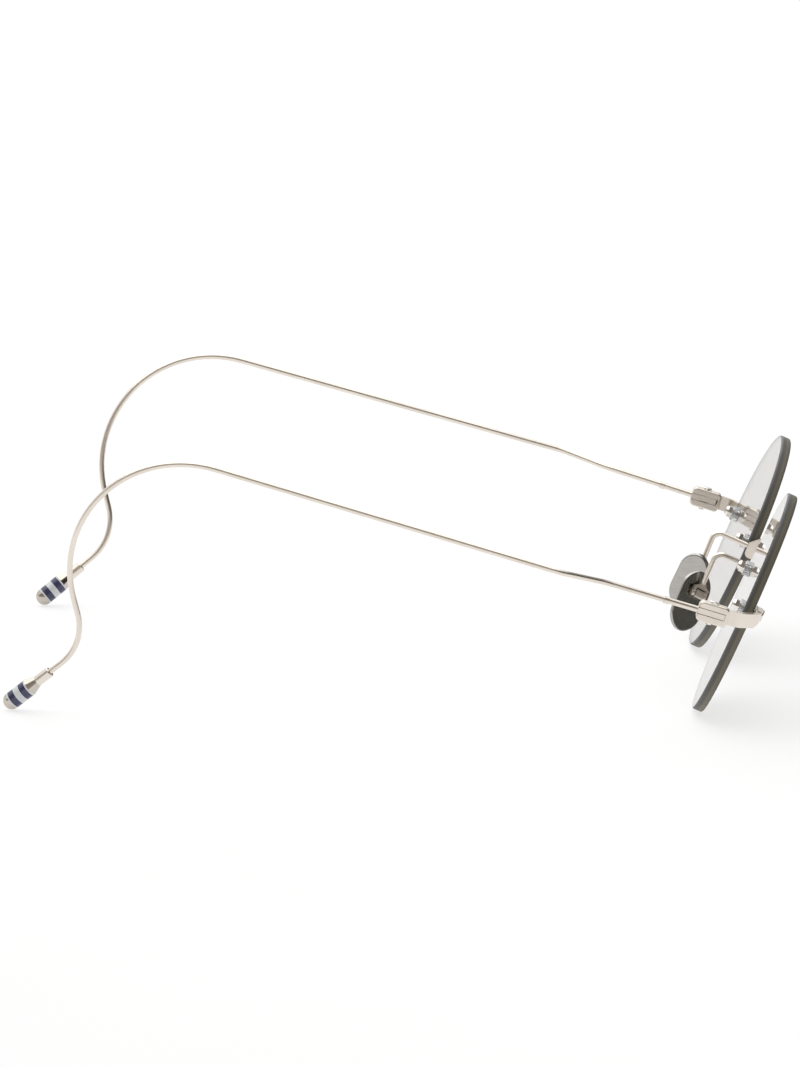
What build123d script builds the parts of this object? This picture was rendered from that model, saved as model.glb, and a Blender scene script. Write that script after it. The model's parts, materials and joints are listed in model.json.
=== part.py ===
from build123d import *
from math import cos, sin, tan, radians, sqrt, pi
import os

# Rimless round eyeglasses with wire temples that hook behind the ears.
# Everything is modelled as worn (x to the wearer's left, y to the rear, z up), left side first.
# The right side is its mirror image. The whole pair is then tipped about x until it stands on
# its two lenses and its two temple tips, which is how it rests on a table.

# ---- driving dimensions, in millimetres and degrees ----
LENS_R = 22.0                # round lenses, 44 mm across
LENS_T = 2.0
LENS_RIM_ROUND = 0.4         # rounding of the ground rim
LENS_X = 33.6                # from the middle of the nose to the lens centre
LENS_Z = -1.17               # lens centre below the hinges
LENS_TILT = 6.9              # lens top forward
LENS_WRAP = 1.6              # lens outer side to the rear

NASAL_HOLE = (-18.3, 3.2)    # across and up from the lens centre
TEMPORAL_HOLE = (18.4, 1.9)
LENS_HOLE_R = 0.95

SCREW_R = 0.5
SCREW_HEAD_R, SCREW_HEAD_H = 1.15, 0.55
SLEEVE_R = 0.93              # clear sleeve in the lens hole
SLEEVE_BORE_R = 0.52
CLEAR_WASHER_R = 1.45
REAR_WASHER_T, FRONT_WASHER_T = 0.75, 0.5
METAL_WASHER_R, METAL_WASHER_T = 1.2, 0.15
NUT_R, NUT_FLATS_H, NUT_BORE_H = 1.2, 0.7, 1.0
NUT_DOME_R, NUT_DOME_H, NUT_DOME_TAPER = 0.85, 0.5, 0.15

PLATE_T = 1.0                # front plates of bridge and endpieces
PLATE_H = 3.2                # height of the bridge plates
BRIDGE_H, BRIDGE_T = 2.8, 1.05
BRIDGE_RISE = 5.2            # middle of the bridge above its plates
BRIDGE_REACH = 1.05          # middle of the bridge in front of its plates
BRIDGE_END = 12.2            # the arch runs this far each side, along its plates
BRIDGE_FOOT, BRIDGE_SHOULDER = 9.6, 5.4
BRIDGE_BENDS = [4.5, 9.0, 9.0, 4.5]
BRIDGE_PLAN_R = 12.0
BRIDGE_PLATE_EDGE = 21.9     # from the lens centre to the plate's inner edge
TAB_T, TAB_GAP = 0.6, 0.3    # tabs that keep the lenses from turning
TAB_REAR = 0.25              # in front of the lens's rear face
TAB_FOOT, TAB_HEEL, TAB_KNEE, TAB_TOP = -2.15, 0.65, 1.2, 2.2    # heights from the lens hole
TAB_KNEE_Z, TAB_TOP_Z = 0.8, 1.9
TAB_BENDS = [0.9, 0.3, 0.6, 0.4, 0.2, 0.2]

STRAP_H, STRAP_T = 2.7, 1.1
STRAP_Z = 0.15               # middle of the strap above the hinge's middle
STRAP_ROOT = 0.4             # the strap starts this deep in the hinge block
STRAP_SIDE = (63.5, 1.2)     # where the strap turns inward
STRAP_CORNER_X, STRAP_END_X = 58.0, 54.6
STRAP_BEND_R = 1.6
STRAP_CUT_Y, STRAP_CUT_Z = 0.9, 1.2      # the cut along the strap's lower front edge
ENDPIECE_PLATE_EDGE = 22.6   # from the lens centre to the plate's outer edge
HINGE_X, HINGE_Y = 63.8, 6.3
BLOCK_W, BLOCK_H = 2.4, 3.7
BLOCK_AHEAD, BLOCK_BEHIND = 3.15, 2.6    # from the hinge screw
BLOCK_ROUND, BLOCK_EDGE = 0.8, 0.3
SLOT_H, SLOT_AHEAD = 1.3, 2.65
HINGE_SCREW_R, HINGE_HEAD_R, HINGE_HEAD_H = 0.6, 0.95, 0.45
HINGE_SCREW_PROUD = 0.3      # its end below the block
SLOT_W = 0.3                 # screwdriver slots
RUNNING = 0.03               # radial running clearance of the pivots
FITTED = 0.02                # radial clearance of fixed screws and sleeves

TONGUE_T, TONGUE_R = 1.0, 2.59
TONGUE_W, TONGUE_BACK = 2.3, 2.6
RECESS_L, RECESS_Y, RECESS_DEPTH = 3.3, -0.55, 0.35      # hollow in the tongue's inner face
FRONT_WIRE_R, WIRE_R = 0.575, 0.53
CRIMP_Y = 14.9               # joint between hinge rod and temple wire
CRIMP_R, CRIMP_L = 0.72, 1.0
JOG_START = (65.35, 26.3, 0.05)
JOG_END = (69.56, 34.9, 0.06)
JOG_BEND_R = 6.0
RUN_INWARD, RUN_DOWN = 3.12, 0.8
HOOK_LEAN = 10.0             # the hooks lean towards the head
EAR_RUN, EAR_BEND_R, EAR_TURN = 66.3, 21.5, 119.1
BACK_RUN, BACK_BEND_R, BACK_TURN = 3.25, 9.6, 64.2
LAST_RUN = 2.65              # straight wire in front of the ferrule

FERRULE_R, FERRULE_L = 1.0, 3.15
TIP_R, CONE_L = 1.675, 1.9
LINE_L, BAND_L = 0.3, 1.25   # thin enamel lines and broad enamel bands
ENAMEL_T = 0.3

ARM_R = 0.48
ARM_CORNER = (12.0, 5.5, 2.75)
ARM_BEND_R = 1.6
PAD_PIVOT = (11.9, 6.43, -6.0)
PAD_L, PAD_W, PAD_T = 12.0, 6.2, 1.15
PAD_OVAL_W, PAD_SHOULDER_R = 7.0, 4.0    # the oval that rounds the pad's ends, blended into its sides
PAD_FACE_ROUND, PAD_BACK_ROUND = 0.4, 0.25
PAD_LEAN_IN, PAD_LEAN_FORWARD, PAD_SPLAY = 16.0, 6.75, 25.0
PAD_DROP, PAD_BACK = 1.6, 0.2
BOX_W, BOX_H, BOX_REACH, BOX_ROUND = 1.9, 1.6, 0.8, 0.4
PAD_FACE = 1.0               # from the pivot to the pad's back
PIN_R, PIN_PROUD = 0.35, 0.05
EAR_R, EAR_T, EAR_GAP = 0.7, 0.5, 0.1
YOKE_X, YOKE_T = 0.1, 0.85   # middle and thickness of the fork's flat part
YOKE_TOP, YOKE_TOP_W = 2.4, 1.1
YOKE_WAIST, YOKE_WAIST_W = 1.8, 1.35
YOKE_SHOULDER, YOKE_CROTCH = 1.35, 1.05
NECK = 2.1                   # where the arm ends, above the pin

PLATE_MIDDLE = LENS_T + FRONT_WASHER_T + PLATE_T / 2     # in front of the lens's rear face
UP = (Align.CENTER, Align.CENTER, Align.MIN)


def vec(*xyz):
    return Vector(*xyz)


# ---- frames of the left side ----
across = vec(cos(radians(LENS_WRAP)), sin(radians(LENS_WRAP)), 0)
steep = vec(0, -sin(radians(LENS_TILT)), cos(radians(LENS_TILT)))
lens_up = (steep - across * steep.dot(across)).normalized()
forward = across.cross(lens_up)
lens_plane = Plane(origin=(LENS_X, 0, LENS_Z), x_dir=across, z_dir=forward)
front_plane = Plane(origin=(0, 0, LENS_Z), x_dir=(1, 0, 0), z_dir=vec(1, 0, 0).cross(steep))

run_dir = vec(-sin(radians(RUN_INWARD)), cos(radians(RUN_INWARD)), -sin(radians(RUN_DOWN))).normalized()
run_up = (vec(0, 0, 1) - run_dir * run_dir.Z).normalized()
hook_up = run_up * cos(radians(HOOK_LEAN)) + run_dir.cross(run_up) * sin(radians(HOOK_LEAN))

pad_up = vec(-sin(radians(PAD_LEAN_IN)), -sin(radians(PAD_LEAN_FORWARD)), cos(radians(PAD_LEAN_IN))).normalized()
pad_rear = vec(sin(radians(PAD_SPLAY)), cos(radians(PAD_SPLAY)), 0)
pad_rear = (pad_rear - pad_up * pad_rear.dot(pad_up)).normalized()
pad_plane = Plane(origin=PAD_PIVOT, x_dir=pad_rear.cross(pad_up), z_dir=pad_up)


# ---- small builders ----
def disc(radius, height, z=0.0):
    return Pos(0, 0, z) * Cylinder(radius, height, align=UP)


def ring(outer, inner, height, z=0.0):
    return disc(outer, height, z) - disc(inner, height, z)


def rod(points, bends, radius):
    """A round wire: straight runs joined by tangent arcs, one bend radius for each corner."""
    points = [vec(*p) for p in points]
    start = points[0]
    pieces = []
    for before, corner, after, bend in zip(points, points[1:], points[2:], bends):
        enter = (corner - before).normalized()
        leave = (after - corner).normalized()
        turn = enter.get_angle(leave)
        reach = bend * tan(radians(turn / 2))
        arc_start = corner - enter * reach
        axis = enter.cross(leave).normalized()
        centre = arc_start + axis.cross(enter) * bend
        pieces.append(Plane(start, z_dir=enter) * Cylinder(radius, (arc_start - start).length, align=UP))
        section = Plane(arc_start, z_dir=enter) * Circle(radius)
        pieces.append(revolve(section, Axis(centre, axis), turn))
        start = corner + leave * reach
    last = (points[-1] - start)
    pieces.append(Plane(start, z_dir=last.normalized()) * Cylinder(radius, last.length, align=UP))
    whole = pieces[0]
    for piece in pieces[1:]:
        whole = whole + piece
    return whole


def at_hole(hole, shape):
    return lens_plane * Pos(hole[0], hole[1], 0) * shape


# ---- lens and its fixings ----
def lens():
    blank = fillet(disc(LENS_R, LENS_T).edges(), LENS_RIM_ROUND)
    for hole in (NASAL_HOLE, TEMPORAL_HOLE):
        blank -= Pos(hole[0], hole[1], 0) * disc(LENS_HOLE_R, LENS_T)
    return lens_plane * blank


def lens_screw():
    tail = -REAR_WASHER_T - METAL_WASHER_T - NUT_BORE_H
    seat = LENS_T + FRONT_WASHER_T + PLATE_T
    head = fillet(disc(SCREW_HEAD_R, SCREW_HEAD_H, seat).edges().group_by(Axis.Z)[-1], 0.3)
    slot = Pos(0, 0, seat + SCREW_HEAD_H) * Box(3 * SCREW_HEAD_R, SLOT_W, SLOT_W)
    return disc(SCREW_R, seat - tail, tail) + (head - slot)


def nut():
    """A domed nut with six flats, threaded on from behind the lens."""
    base = -REAR_WASHER_T - METAL_WASHER_T
    flats = extrude(RegularPolygon(NUT_R, 6), NUT_FLATS_H)
    dome = Cone(NUT_DOME_R + NUT_DOME_TAPER, NUT_DOME_R - NUT_DOME_TAPER, NUT_DOME_H, align=UP)
    body = flats + Pos(0, 0, NUT_FLATS_H) * dome - disc(SCREW_R + FITTED, NUT_BORE_H)
    return Pos(0, 0, base) * Rot(180, 0, 0) * body


# ---- bridge ----
def plate(hole, reach, height):
    """The front plate round a lens screw, running from the hole to the given place across."""
    x, y = hole
    middle = Pos((x + reach) / 2, y, 0) * Rectangle(abs(reach - x), height)
    outline = Pos(x, y, 0) * Circle(height / 2) + middle
    bore = Pos(x, y, 0) * Circle(SCREW_R + FITTED)
    return Pos(0, 0, LENS_T + FRONT_WASHER_T) * extrude(outline - bore, PLATE_T)


def tab_edge():
    """Where the tab's outer face lies across, next to the lens's inner edge."""
    return -sqrt(LENS_R**2 - NASAL_HOLE[1]**2) - TAB_GAP


def bridge_tab():
    """The lobe that turns back along the lens's inner edge and rises towards the bridge."""
    y = NASAL_HOLE[1]
    front = LENS_T + FRONT_WASHER_T + PLATE_T
    outline = FilletPolyline((y + TAB_FOOT, TAB_REAR), (y + TAB_HEEL, TAB_REAR), (y + TAB_KNEE, TAB_KNEE_Z),
                             (y + TAB_TOP, TAB_TOP_Z), (y + TAB_TOP, front), (y + TAB_FOOT, front),
                             radius=TAB_BENDS, close=True)
    side = Plane.YZ * make_face(outline)
    return Pos(tab_edge() - TAB_T, 0, 0) * extrude(side, TAB_T)


def bridge():
    y = NASAL_HOLE[1]
    top = y + BRIDGE_RISE
    depth = PLATE_MIDDLE + (LENS_X - BRIDGE_END) * sin(radians(LENS_WRAP))
    middle = depth + BRIDGE_REACH

    def line(low, high, bends):
        places = [(BRIDGE_END, low), (BRIDGE_FOOT, low), (BRIDGE_SHOULDER, high)]
        return FilletPolyline(*[(-x, v) for x, v in places], *reversed(places), radius=bends)

    seen_from_front = extrude(trace(line(y, top, BRIDGE_BENDS), BRIDGE_H), 2 * middle)
    seen_from_above = Plane.XZ * extrude(trace(line(depth, middle, BRIDGE_PLAN_R), BRIDGE_T), 2 * top, both=True)
    arch = front_plane * (seen_from_front & seen_from_above)
    half = lens_plane * (plate(NASAL_HOLE, -BRIDGE_PLATE_EDGE, PLATE_H) + bridge_tab())
    return arch + half + mirror(half, about=Plane.YZ)


# ---- endpiece with its hinge fork ----
def hinge_block():
    length = BLOCK_AHEAD + BLOCK_BEHIND
    block = Box(BLOCK_W, length, BLOCK_H)
    block = fillet(block.edges().filter_by(Axis.X), BLOCK_ROUND)
    block = fillet(block.edges().filter_by(Axis.Z), BLOCK_EDGE)
    block = Pos(0, (BLOCK_BEHIND - BLOCK_AHEAD) / 2, 0) * block
    slot = Box(2 * BLOCK_W, length, SLOT_H, align=(Align.CENTER, Align.MIN, Align.CENTER))
    return Pos(HINGE_X, HINGE_Y, 0) * (block - Pos(0, -SLOT_AHEAD, 0) * slot)


def strap():
    """The strap from the hinge block round the lens's outer edge to the front plate."""
    def on_plate(x):
        return x, lens_plane.from_local_coords(vec(x - LENS_X, STRAP_Z - LENS_Z, PLATE_MIDDLE)).Y

    line = FilletPolyline((HINGE_X, HINGE_Y - BLOCK_AHEAD + STRAP_ROOT), STRAP_SIDE,
                          on_plate(STRAP_CORNER_X), on_plate(STRAP_END_X), radius=STRAP_BEND_R)
    band = Pos(0, 0, STRAP_Z - STRAP_H / 2) * extrude(trace(line, STRAP_T), STRAP_H)
    low = band.bounding_box().min
    cut = Polygon((0, 0), (3 * STRAP_CUT_Y, 0), (0, 3 * STRAP_CUT_Z), align=None)
    wedge = Plane.YZ * Pos(low.Y - STRAP_CUT_Y, low.Z - STRAP_CUT_Z) * cut
    return band - extrude(wedge, 2 * HINGE_X)


def endpiece():
    front = lens_plane * plate(TEMPORAL_HOLE, ENDPIECE_PLATE_EDGE, STRAP_H)
    bore = Pos(HINGE_X, HINGE_Y, 0) * Cylinder(HINGE_SCREW_R + FITTED, 2 * BLOCK_H)
    return hinge_block() + strap() + front - bore


def hinge_screw():
    top, end = BLOCK_H / 2, -BLOCK_H / 2 - HINGE_SCREW_PROUD
    head = fillet(disc(HINGE_HEAD_R, HINGE_HEAD_H, top).edges().group_by(Axis.Z)[-1], 0.2)
    slot = Pos(0, 0, top + HINGE_HEAD_H) * Box(3 * HINGE_HEAD_R, SLOT_W, SLOT_W)
    return Pos(HINGE_X, HINGE_Y, 0) * (disc(HINGE_SCREW_R, top - end, end) + (head - slot))


# ---- temple ----
def jog_direction():
    return (vec(*JOG_START) - vec(HINGE_X, HINGE_Y, 0)).normalized()


def on_front_run(y):
    """The point of the temple's front run at this distance back."""
    run = jog_direction()
    return vec(HINGE_X, HINGE_Y, 0) + run * ((y - HINGE_Y) / run.Y)


def temple_front():
    """The hinge tongue and the short rod that it carries.

    The tongue is rounded where it swings past the end of its slot and square on the outside.
    """
    outline = Circle(TONGUE_R) & Rectangle(TONGUE_W, 2 * TONGUE_R)
    outline += Pos(TONGUE_W / 4, -TONGUE_R / 2) * Rectangle(TONGUE_W / 2, TONGUE_R)
    outline += Pos(0, TONGUE_BACK / 2) * Rectangle(TONGUE_W, TONGUE_BACK)
    outline -= Circle(HINGE_SCREW_R + RUNNING)
    tongue = Pos(0, 0, -TONGUE_T / 2) * extrude(outline, TONGUE_T)
    tongue -= Pos(-TONGUE_W / 2, RECESS_Y, 0) * Box(2 * RECESS_DEPTH, RECESS_L, 2 * TONGUE_T)
    run = jog_direction()
    start, end = on_front_run(HINGE_Y + TONGUE_BACK - FRONT_WIRE_R), on_front_run(CRIMP_Y)
    rod = Plane(start, z_dir=run) * Cylinder(FRONT_WIRE_R, (end - start).length, align=UP)
    return Pos(HINGE_X, HINGE_Y, 0) * tongue + rod


def temple_crimp():
    """The small collar over the joint between rod and wire."""
    place = Plane(on_front_run(CRIMP_Y), z_dir=jog_direction())
    hollow = disc(FRONT_WIRE_R, CRIMP_L / 2, -CRIMP_L / 2) + disc(WIRE_R, CRIMP_L / 2)
    return place * (disc(CRIMP_R, CRIMP_L, -CRIMP_L / 2) - hollow)


def in_hook(along, up):
    return vec(*JOG_END) + run_dir * along + hook_up * up


ear_reach = EAR_BEND_R * tan(radians(EAR_TURN / 2))
back_reach = BACK_BEND_R * tan(radians(BACK_TURN / 2))
ear_corner = (EAR_RUN + ear_reach, 0.0)
down_length = ear_reach + BACK_RUN + back_reach
back_corner = (ear_corner[0] + down_length * cos(radians(EAR_TURN)), -down_length * sin(radians(EAR_TURN)))
tip_turn = radians(EAR_TURN - BACK_TURN)
tip_dir = (run_dir * cos(tip_turn) - hook_up * sin(tip_turn)).normalized()
ferrule_start = in_hook(*back_corner) + tip_dir * (back_reach + LAST_RUN)
tip_plane = Plane(ferrule_start, z_dir=tip_dir)
cone_end = FERRULE_L + CONE_L
lines_end = cone_end + 2 * LINE_L + 3 * BAND_L


def temple_wire():
    route = [on_front_run(CRIMP_Y), JOG_START, JOG_END, in_hook(*ear_corner), in_hook(*back_corner),
             ferrule_start + tip_dir * FERRULE_L]
    bends = [JOG_BEND_R, JOG_BEND_R, EAR_BEND_R, BACK_BEND_R]
    return rod(route, bends, WIRE_R)


def tip_ferrule():
    tube = fillet(disc(FERRULE_R, FERRULE_L).edges().group_by(Axis.Z)[0], 0.25)
    return tip_plane * (tube - disc(WIRE_R + FITTED, FERRULE_L))


def tip_body():
    """Cone, grooved barrel and dome, turned in one piece."""
    cone = Pos(0, 0, FERRULE_L) * Cone(FERRULE_R, TIP_R, CONE_L, align=UP)
    barrel = disc(TIP_R - ENAMEL_T, lines_end - cone_end, cone_end)
    dome = Pos(0, 0, lines_end) * (Sphere(TIP_R) & disc(2 * TIP_R, 2 * TIP_R))
    return tip_plane * (cone + barrel + dome)


def enamel(lengths_and_places):
    return [tip_plane * ring(TIP_R, TIP_R - ENAMEL_T, length, cone_end + place)
            for length, place in lengths_and_places]


def dark_bands():
    return enamel([(BAND_L, LINE_L), (BAND_L, LINE_L + 2 * BAND_L)])


def white_bands():
    return enamel([(LINE_L, 0), (BAND_L, LINE_L + BAND_L), (LINE_L, LINE_L + 3 * BAND_L)])


# ---- nose pad ----
def claw():
    """The flat yoke at the end of the pad arm, with two ears that hold the pad's pin."""
    inner = BOX_W / 2 + EAR_GAP
    span = inner + EAR_T
    flank = [(YOKE_TOP_W / 2, YOKE_TOP), (YOKE_WAIST_W / 2, YOKE_WAIST), (span, YOKE_SHOULDER),
             (span, YOKE_CROTCH)]
    outline = Polyline(*flank, *[(-y, z) for y, z in reversed(flank)], close=True)
    face = fillet(make_face(outline).vertices().group_by(Axis.Y)[2:], 0.25)
    whole = Pos(YOKE_X - YOKE_T / 2, 0, 0) * extrude(Plane.YZ * face, YOKE_T)
    for side in (-1, 1):
        leg = Pos(YOKE_X, 0, YOKE_SHOULDER / 2) * Box(YOKE_T, EAR_T, YOKE_SHOULDER)
        ear = Rot(90, 0, 0) * Cylinder(EAR_R, EAR_T) + leg
        whole += Pos(0, side * (inner + EAR_T / 2), 0) * ear
    return pad_plane * (whole - Rot(90, 0, 0) * Cylinder(PIN_R, 4 * BOX_W))


def pad_arm():
    tab_rear = lens_plane.from_local_coords(vec(tab_edge() - TAB_T / 2, NASAL_HOLE[1], TAB_REAR))
    neck = pad_plane.from_local_coords(vec(YOKE_X, 0, NECK))
    return rod([tab_rear, ARM_CORNER, neck], [ARM_BEND_R], ARM_R) + claw()


def pad_pin():
    return pad_plane * Rot(90, 0, 0) * Cylinder(PIN_R, BOX_W + 2 * (EAR_GAP + EAR_T + PIN_PROUD))


def pad_box():
    body = Pos((BOX_REACH - PAD_FACE) / 2, 0, 0) * Box(BOX_REACH + PAD_FACE, BOX_W, BOX_H)
    body = fillet(body.edges().filter_by(Axis.Y).group_by(Axis.X)[-1], BOX_ROUND)
    return pad_plane * (body - Rot(90, 0, 0) * Cylinder(PIN_R + RUNNING, 2 * BOX_W))


def nose_pad():
    oval = Ellipse(PAD_OVAL_W / 2, PAD_L / 2) & Rectangle(PAD_W, PAD_L)
    oval = Plane.YZ * Pos(PAD_BACK, -PAD_DROP) * fillet(oval.vertices(), PAD_SHOULDER_R)
    pad = Pos(-PAD_FACE - PAD_T, 0, 0) * extrude(oval, PAD_T)
    pad = fillet(pad.edges().group_by(Axis.X)[0], PAD_FACE_ROUND)
    pad = fillet(pad.edges().group_by(Axis.X)[-1], PAD_BACK_ROUND)
    return pad_plane * pad


# ---- assembly, as worn ----
def both(shapes):
    """The shapes of the left side with their mirror images."""
    shapes = shapes if isinstance(shapes, list) else [shapes]
    return shapes + [mirror(shape, about=Plane.YZ) for shape in shapes]


def at_both_holes(shape):
    return both([at_hole(NASAL_HOLE, shape), at_hole(TEMPORAL_HOLE, shape)])


sleeve = ring(SLEEVE_R, SLEEVE_BORE_R, LENS_T)
rear_washer = ring(CLEAR_WASHER_R, SLEEVE_BORE_R, REAR_WASHER_T, -REAR_WASHER_T)
front_washer = ring(CLEAR_WASHER_R, SLEEVE_BORE_R, FRONT_WASHER_T, LENS_T)
metal_washer = ring(METAL_WASHER_R, SLEEVE_BORE_R, METAL_WASHER_T, -REAR_WASHER_T - METAL_WASHER_T)

nodes = {
    "bridge": [bridge()],
    "bridge_screws": both(at_hole(NASAL_HOLE, lens_screw())),
    "endpiece_screws": both(at_hole(TEMPORAL_HOLE, lens_screw())),
    "hole_sleeves": at_both_holes(sleeve),
    "front_washers": at_both_holes(front_washer),
    "rear_washers": at_both_holes(rear_washer),
    "metal_washers": at_both_holes(metal_washer),
    "lens_nuts": at_both_holes(nut()),
}
sided = {
    "lens": lens,
    "endpiece": endpiece,
    "hinge_screw": hinge_screw,
    "temple_front": temple_front,
    "temple_crimp": temple_crimp,
    "temple_wire": temple_wire,
    "tip_ferrule": tip_ferrule,
    "tip_body": tip_body,
    "tip_dark_bands": dark_bands,
    "tip_white_bands": white_bands,
    "pad_arm": pad_arm,
    "pad_pin": pad_pin,
    "pad_box": pad_box,
    "nose_pad": nose_pad,
}
for name, maker in sided.items():
    shapes = maker()
    pair = both(shapes)
    half = len(pair) // 2
    nodes[name + "_left"] = pair[:half]
    nodes[name + "_right"] = pair[half:]


# ---- stand the pair on its lenses and its temple tips ----
def depths(tilt):
    """How far the lens and the temple tip reach down, with the pair tipped by this angle."""
    down = vec(0, -sin(tilt), -cos(tilt))
    in_lens = (down - forward * down.dot(forward)).normalized()
    inside = lens_plane.origin + forward * (LENS_T - LENS_RIM_ROUND) + in_lens * (LENS_R - LENS_RIM_ROUND)
    dome = ferrule_start + tip_dir * lines_end
    return inside.dot(down) + LENS_RIM_ROUND, dome.dot(down) + TIP_R


low, high = 0.0, radians(40)
while high - low > 1e-7:
    middle = (low + high) / 2
    lens_depth, tip_depth = depths(middle)
    if tip_depth > lens_depth:
        low = middle
    else:
        high = middle

tipped = Rot(low * 180 / pi, 0, 0)
everything = Compound(children=[tipped * shape for shapes in nodes.values() for shape in shapes])
box = everything.bounding_box()
to_row = Pos(0, -(box.min.Y + box.max.Y) / 2, lens_depth) * tipped

os.makedirs("parts", exist_ok=True)
for name, shapes in nodes.items():
    placed = [to_row * shape for shape in shapes]
    export_step(placed[0] if len(placed) == 1 else Compound(children=placed), f"parts/{name}.step")


def in_row(plane):
    return Plane(to_row * plane.location)


hinge = in_row(Plane((HINGE_X, HINGE_Y, 0)))
pad = in_row(pad_plane)
tip = in_row(tip_plane)
print("tipped by", low * 180 / pi, "degrees and moved", to_row.position)
print("hinge at", hinge.origin, "along", hinge.z_dir)
print("pad pivot at", pad.origin, "along", pad.y_dir)
print("tip at", tip.origin, "along", tip.z_dir, "barrel from", cone_end, "to", lines_end)
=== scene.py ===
import bmesh
import bpy
import json
from math import cos, radians, sin
from mathutils import Matrix, Quaternion, Vector


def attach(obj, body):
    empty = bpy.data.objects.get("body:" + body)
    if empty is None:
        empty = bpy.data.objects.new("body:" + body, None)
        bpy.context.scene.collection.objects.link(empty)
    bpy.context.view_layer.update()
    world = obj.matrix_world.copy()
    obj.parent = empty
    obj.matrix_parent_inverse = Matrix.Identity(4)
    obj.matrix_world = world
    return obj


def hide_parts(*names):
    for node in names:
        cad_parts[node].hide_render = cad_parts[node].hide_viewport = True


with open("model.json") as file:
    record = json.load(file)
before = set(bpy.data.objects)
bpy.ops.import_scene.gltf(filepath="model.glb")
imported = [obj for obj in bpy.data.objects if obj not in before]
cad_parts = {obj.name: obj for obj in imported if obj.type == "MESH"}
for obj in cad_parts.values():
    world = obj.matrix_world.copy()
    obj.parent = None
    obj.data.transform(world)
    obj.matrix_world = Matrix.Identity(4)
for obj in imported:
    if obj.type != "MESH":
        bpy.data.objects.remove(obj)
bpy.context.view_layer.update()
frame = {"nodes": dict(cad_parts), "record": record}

# Rimless round eyeglasses with hooked wire temples, standing open on a pale floor.
# The shapes are the CAD nodes, and each gets the finish of its material slot. Only the lenses
# are rebuilt here, so that their faces can be clear and their edges ground.
SIDES = ("left", "right")

# ---- the lenses ----
LENS_R = 0.022               # metres
LENS_T = 0.002
RIM_FROM = 0.9               # the ground edge starts here, as a share of the radius
RIM_AXIAL = 0.9              # a ground face's normal leans less than this along the lens's axis
FLAT_AXIAL = 0.99            # a face whose normal leans at least this far is shaded flat
SAME_PLANE = radians(0.5)    # faces that differ by less are joined
SHARP_EDGE = radians(30)     # edges that turn by more are not smoothed over

# ---- noise and bumps in the materials ----
NOISE_SPREAD = (0.3, 0.7)    # most of a noise lies between these
COLOUR_SPREAD = (0.35, 0.65)
FINE_BUMP = 0.00001          # metres
COARSE_BUMP = 0.00003

# ---- the camera, from the middle of the object, in degrees and metres ----
CAMERA_AZIMUTH = -0.85       # from straight off the wearer's right side, minus is to the front
CAMERA_ELEVATION = 9.72
CAMERA_ROLL = 1.67
CAMERA_DISTANCE = 1.9094
CAMERA_TARGET = (-0.0003, 0.0013, 0.0259)
CAMERA_LENS_MM = 339.3
CAMERA_FILM_MM = 36.0
CAMERA_REACH = 20.0

# ---- the floor and the surround ----
FLOOR_HALF = 6.0
FLOOR_Z = -0.0002
SURROUND_STRENGTH = 0.9
SURROUND = (                 # from the wearer's right (0), over the top (0.5), to the left (1)
    (0.0, (0.5, 0.46, 0.41)), (0.12, (0.42, 0.38, 0.33)), (0.2, (0.34, 0.315, 0.28)),
    (0.3, (0.34, 0.315, 0.28)), (0.36, (1.1, 1.1, 1.1)), (0.7, (1.1, 1.1, 1.1)),
    (0.8, (0.9, 0.88, 0.86)), (1.0, (0.95, 0.94, 0.93)))
FRONT_DIM = 0.85             # how much darker the surround is ahead of the wearer
FRONT_DIM_FROM, FRONT_DIM_TO = -0.15, -0.45


# ---- shader building blocks ----
def material(name, **sockets):
    """A new material with plain values on its shader, its node tree and that shader."""
    made = bpy.data.materials.new(name)
    made.use_nodes = True
    shader = made.node_tree.nodes["Principled BSDF"]
    for socket, value in sockets.items():
        shader.inputs[socket.replace("_", " ")].default_value = value
    return made, made.node_tree, shader


def coordinates(tree, kind):
    """The x, y and z of a texture coordinate."""
    where = tree.nodes.new("ShaderNodeTexCoord")
    split = tree.nodes.new("ShaderNodeSeparateXYZ")
    tree.links.new(where.outputs[kind], split.inputs["Vector"])
    return [split.outputs[axis] for axis in "XYZ"]


def noise(tree, scale, detail=3.0, stretch=(1, 1, 1), turn=(0, 0, 0)):
    """A noise in the piece's own frame, which may be stretched along a turned direction."""
    where = tree.nodes.new("ShaderNodeTexCoord")
    mapping = tree.nodes.new("ShaderNodeMapping")
    mapping.inputs["Scale"].default_value = stretch
    mapping.inputs["Rotation"].default_value = turn
    made = tree.nodes.new("ShaderNodeTexNoise")
    made.inputs["Scale"].default_value = scale
    made.inputs["Detail"].default_value = detail
    tree.links.new(where.outputs["Object"], mapping.inputs["Vector"])
    tree.links.new(mapping.outputs["Vector"], made.inputs["Vector"])
    return made.outputs["Fac"]


def rescale(tree, value, start, end, low=0.0, high=1.0):
    """Takes a value that runs from start to end to one from low to high."""
    made = tree.nodes.new("ShaderNodeMapRange")
    for name, number in (("From Min", start), ("From Max", end), ("To Min", low), ("To Max", high)):
        made.inputs[name].default_value = number
    tree.links.new(value, made.inputs["Value"])
    return made.outputs["Result"]


def calculate(tree, operation, first, second):
    """One step of arithmetic on a value and a second value or plain number."""
    made = tree.nodes.new("ShaderNodeMath")
    made.operation = operation
    tree.links.new(first, made.inputs[0])
    if isinstance(second, float):
        made.inputs[1].default_value = second
    else:
        tree.links.new(second, made.inputs[1])
    return made.outputs["Value"]


def mix(tree, share):
    """A mix of two colours, A at a share of 0 and B at 1."""
    made = tree.nodes.new("ShaderNodeMix")
    made.data_type = "RGBA"
    tree.links.new(share, made.inputs["Factor"])
    return made


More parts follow.
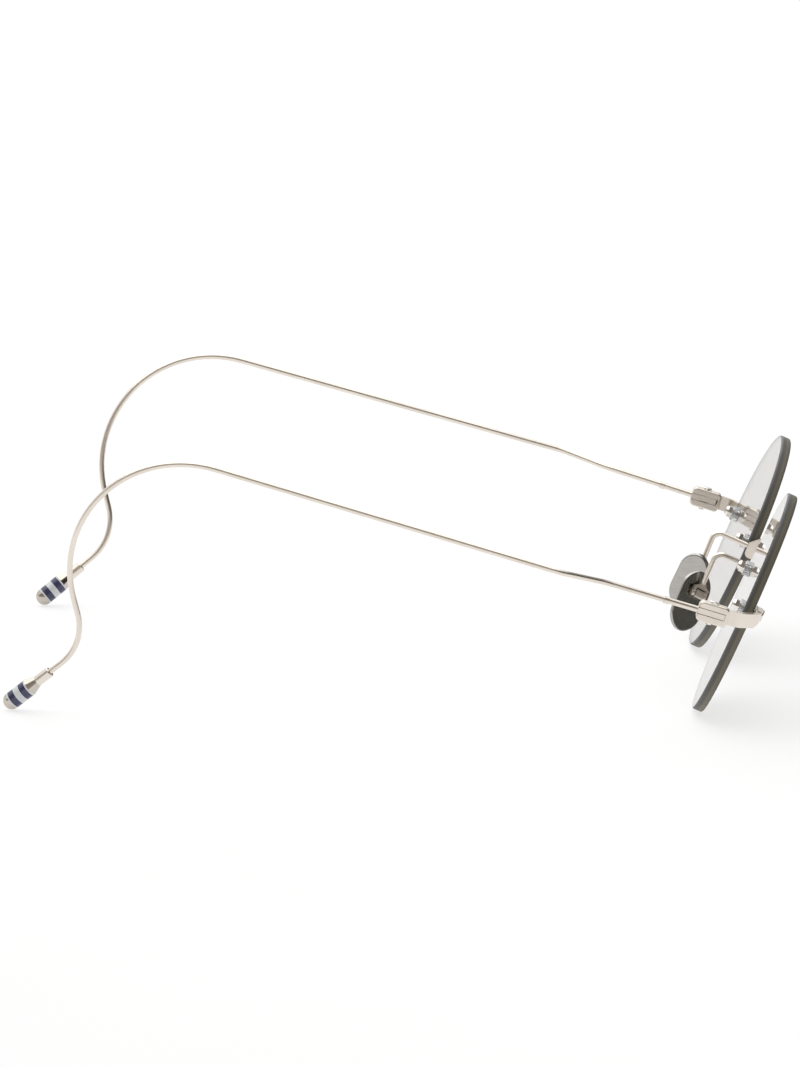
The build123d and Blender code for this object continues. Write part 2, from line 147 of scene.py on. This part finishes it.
def ramp(tree, value, stops):
    """Colours by a value from 0 to 1, as pairs of place and colour."""
    made = tree.nodes.new("ShaderNodeValToRGB")
    tree.links.new(value, made.inputs["Fac"])
    elements = made.color_ramp.elements
    elements[0].position, elements[0].color = stops[0][0], (*stops[0][1], 1)
    elements[1].position, elements[1].color = stops[-1][0], (*stops[-1][1], 1)
    for place, colour in stops[1:-1]:
        elements.new(place).color = (*colour, 1)
    return made.outputs["Color"]


def mottled(tree, value, first, second):
    """Two colours that run into each other with a noise."""
    return ramp(tree, value, tuple(zip(COLOUR_SPREAD, (first, second))))


def tint(tree, shader, value, first, second):
    tree.links.new(mottled(tree, value, first, second), shader.inputs["Base Color"])


def roughness(tree, shader, value, low, high):
    tree.links.new(rescale(tree, value, *NOISE_SPREAD, low, high), shader.inputs["Roughness"])


def bump(tree, shader, value, strength, distance):
    made = tree.nodes.new("ShaderNodeBump")
    made.inputs["Strength"].default_value = strength
    made.inputs["Distance"].default_value = distance
    tree.links.new(value, made.inputs["Height"])
    tree.links.new(made.outputs["Normal"], shader.inputs["Normal"])


# ---- materials ----
def polished_metal(name, light, dark, rough):
    made, tree, shader = material(name, Metallic=1.0)
    cloud = noise(tree, scale=140.0)
    tint(tree, shader, cloud, light, dark)
    roughness(tree, shader, cloud, *rough)
    grain = noise(tree, scale=1800.0, detail=2.0)
    bump(tree, shader, grain, strength=0.03, distance=FINE_BUMP)
    return made


def brushed_pad():
    """Pad metal with fine brushed lines towards the nose, and painted shade: the side to the lens is
    painted darker.
    """
    made, tree, shader = material("pad_brushed", Metallic=1.0)
    lines = noise(tree, scale=260.0, detail=5.0, stretch=(2, 2, 18), turn=(radians(25), 0, 0))
    _, rearward, _ = coordinates(tree, "Normal")
    painted_side_shade = mix(tree, rescale(tree, rearward, start=-0.35, end=0.0))
    # painted shade: faces that look towards the lens get this darker colour
    painted_side_shade.inputs["A"].default_value = (0.21, 0.215, 0.2, 1)
    brushed = mottled(tree, lines, (0.41, 0.395, 0.375), (0.47, 0.45, 0.43))
    tree.links.new(brushed, painted_side_shade.inputs["B"])
    tree.links.new(painted_side_shade.outputs["Result"], shader.inputs["Base Color"])
    roughness(tree, shader, lines, low=0.18, high=0.26)
    bump(tree, shader, lines, strength=0.12, distance=FINE_BUMP)
    return made


def lens_glass():
    """Lightly smoked lens material with faint wiping smears."""
    made, tree, shader = material("lens_clear", IOR=1.5, Transmission_Weight=1.0,
                                  Base_Color=(0.47, 0.44, 0.41, 1))
    roughness(tree, shader, noise(tree, scale=45.0, detail=4.0), low=0.0, high=0.02)
    return made


def ground_edge():
    """The lens's edge: ground matt, grey at the rear face and more olive towards the front. Its dark
    and light bands across the thickness are partly the glass's own grey-olive tone and partly
    painted light and shade standing in for light inside the glass.
    """
    made, tree, shader = material("lens_ground_edge", IOR=1.5)
    _, _, depth = coordinates(tree, "Object")
    # painted light and shade across the thickness, over the glass's own grey-olive tone
    colour = ramp(tree, rescale(tree, depth, start=0.0, end=LENS_T), (
        (0.0, (0.15, 0.15, 0.15)), (0.16, (0.09, 0.09, 0.088)), (0.4, (0.085, 0.08, 0.065)),
        (0.6, (0.15, 0.135, 0.1)), (0.85, (0.14, 0.125, 0.09)), (1.0, (0.07, 0.062, 0.045))))
    tree.links.new(colour, shader.inputs["Base Color"])
    grain = noise(tree, scale=900.0, detail=5.0)
    roughness(tree, shader, grain, low=0.42, high=0.6)
    bump(tree, shader, grain, strength=0.25, distance=COARSE_BUMP)
    return made


def clear_plastic():
    made, tree, shader = material("clear_plastic", IOR=1.49, Transmission_Weight=0.75,
                                  Base_Color=(0.83, 0.845, 0.86, 1))
    roughness(tree, shader, noise(tree, scale=500.0), low=0.08, high=0.2)
    return made


def enamel(name, first, second):
    made, tree, shader = material(name, IOR=1.5, Coat_Weight=0.6, Coat_Roughness=0.06)
    cloud = noise(tree, scale=700.0)
    tint(tree, shader, cloud, first, second)
    roughness(tree, shader, cloud, low=0.22, high=0.34)
    bump(tree, shader, cloud, strength=0.08, distance=COARSE_BUMP)
    return made


PLATING = polished_metal("polished_plating", light=(0.82, 0.755, 0.68), dark=(0.77, 0.705, 0.63),
                         rough=(0.26, 0.34))
TIP_METAL = polished_metal("tip_metal", light=(0.6, 0.56, 0.5), dark=(0.53, 0.49, 0.44),
                           rough=(0.1, 0.18))
STEEL = polished_metal("screw_steel", light=(0.9, 0.86, 0.81), dark=(0.8, 0.76, 0.71),
                       rough=(0.16, 0.26))
FINISH = {
    "frame_metal": PLATING,
    "fastener_steel": STEEL,
    "clear_plastic": clear_plastic(),
    "pad_metal": brushed_pad(),
    "enamel_dark": enamel("enamel_navy", (0.018, 0.02, 0.075), (0.03, 0.03, 0.1)),
    "enamel_white": enamel("enamel_white", (0.72, 0.74, 0.76), (0.66, 0.68, 0.71)),
}
GLASS = lens_glass()
EDGE = ground_edge()


# ---- lenses ----
def lens_placing(data):
    """Turns and moves a disc's own axes, with z from its rear face to its front, into the frame."""
    flat = max(data.polygons, key=lambda p: p.area)
    forward = flat.normal if flat.normal.y < 0 else -flat.normal
    points = [v.co for v in data.vertices]
    centre = Vector([(min(p[i] for p in points) + max(p[i] for p in points)) / 2 for i in range(3)])
    rear = min(p.dot(forward) for p in points)
    centre += forward * (rear - centre.dot(forward))
    turn = forward.to_track_quat("Z", "Y").to_matrix().to_4x4()
    return Matrix.Translation(centre) @ turn


def lens(side):
    """The CAD lens with clear flat faces and a ground edge."""
    source = frame["nodes"]["lens_" + side].data
    placing = lens_placing(source)
    bm = bmesh.new()
    bm.from_mesh(source)
    bmesh.ops.remove_doubles(bm, verts=bm.verts, dist=1e-7)
    bmesh.ops.transform(bm, matrix=placing.inverted(), verts=bm.verts)
    bmesh.ops.dissolve_limit(bm, angle_limit=SAME_PLANE, verts=bm.verts, edges=bm.edges)
    for face in bm.faces:
        far_out = face.calc_center_median().to_2d().length > LENS_R * RIM_FROM
        face.material_index = 1 if far_out and abs(face.normal.z) < RIM_AXIAL else 0
    mesh = bpy.data.meshes.new("lens_clear_" + side)
    mesh.materials.append(GLASS)
    mesh.materials.append(EDGE)
    bm.to_mesh(mesh)
    bm.free()
    mesh.attributes.remove(mesh.attributes["custom_normal"])
    mesh.set_sharp_from_angle(angle=SHARP_EDGE)
    for polygon in mesh.polygons:
        polygon.use_smooth = abs(polygon.normal.z) < FLAT_AXIAL
    piece = bpy.data.objects.new("lens_clear_" + side, mesh)
    bpy.context.scene.collection.objects.link(piece)
    piece.matrix_world = placing
    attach(piece, "front")
    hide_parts("lens_" + side)


for side in SIDES:
    lens(side)


# ---- finishes of the CAD nodes; the turned tips are darker than the rest of the frame ----
for part in frame["record"]["subparts"]:
    node = frame["nodes"][part["node"]]
    finish = FINISH.get(part["material_slot"])
    if part["node"].startswith("tip_body"):
        finish = TIP_METAL
    if finish:
        for slot in node.material_slots:
            slot.material = finish


# ---- floor, light and camera ----
def floor():
    """A pale table that is mostly self-lit, so that it stays white and its shadows faint."""
    corners = [(x * FLOOR_HALF, y * FLOOR_HALF, 0) for x, y in ((-1, -1), (1, -1), (1, 1), (-1, 1))]
    mesh = bpy.data.meshes.new("floor")
    mesh.from_pydata(corners, [], [(0, 1, 2, 3)])
    made, tree, shader = material("floor_light_table", Roughness=0.9, Specular_IOR_Level=0.2,
                                  Emission_Color=(1.0, 1.0, 1.0, 1), Emission_Strength=0.7)
    tint(tree, shader, noise(tree, scale=3.0), (0.3, 0.3, 0.3), (0.28, 0.28, 0.28))
    mesh.materials.append(made)
    piece = bpy.data.objects.new("floor", mesh)
    bpy.context.scene.collection.objects.link(piece)
    piece.location.z = FLOOR_Z


def studio():
    """A surround that changes from the wearer's right, over the top, to the left.

    It is dimmer ahead of the wearer.
    """
    world = bpy.data.worlds.new("studio")
    bpy.context.scene.world = world
    world.use_nodes = True
    tree = world.node_tree
    x, y, z = coordinates(tree, "Generated")
    arc = calculate(tree, "ARCTAN2", z, calculate(tree, "MULTIPLY", x, -1.0))
    dimmed = mix(tree, rescale(tree, y, FRONT_DIM_FROM, FRONT_DIM_TO, high=FRONT_DIM))
    colour = ramp(tree, rescale(tree, arc, start=0.0, end=radians(180)), SURROUND)
    tree.links.new(colour, dimmed.inputs["A"])
    dimmed.inputs["B"].default_value = (0, 0, 0, 1)
    back = tree.nodes["Background"]
    tree.links.new(dimmed.outputs["Result"], back.inputs["Color"])
    back.inputs["Strength"].default_value = SURROUND_STRENGTH


def soft_box(name, place, size, power):
    """A rectangular light, in metres and watts, that faces the origin."""
    light = bpy.data.lights.new(name, "AREA")
    light.shape = "RECTANGLE"
    light.size, light.size_y = size
    light.energy = power
    lamp = bpy.data.objects.new(name, light)
    bpy.context.scene.collection.objects.link(lamp)
    lamp.location = place
    lamp.rotation_euler = (-Vector(place)).to_track_quat("-Z", "Y").to_euler()


def camera():
    """The photograph's viewpoint, a long way off through a long lens."""
    data = bpy.data.cameras.new("camera")
    data.lens = CAMERA_LENS_MM
    data.sensor_width = CAMERA_FILM_MM
    data.clip_end = CAMERA_REACH
    eye = bpy.data.objects.new("camera", data)
    bpy.context.scene.collection.objects.link(eye)
    azimuth, elevation = radians(CAMERA_AZIMUTH), radians(CAMERA_ELEVATION)
    towards = Vector((-cos(elevation) * cos(azimuth), cos(elevation) * sin(azimuth), sin(elevation)))
    eye.location = Vector(CAMERA_TARGET) + towards * CAMERA_DISTANCE
    look = (-towards).to_track_quat("-Z", "Y")
    eye.rotation_euler = (look @ Quaternion((0, 0, 1), radians(CAMERA_ROLL))).to_euler()
    bpy.context.scene.camera = eye


floor()
studio()
soft_box("top_box", place=(0.2, 0.1, 1.6), size=(2.4, 2.4), power=16)
soft_box("back_box", place=(1.5, 0.3, 1.0), size=(1.2, 1.0), power=4)
camera()
bpy.context.scene.view_settings.view_transform = "Standard"
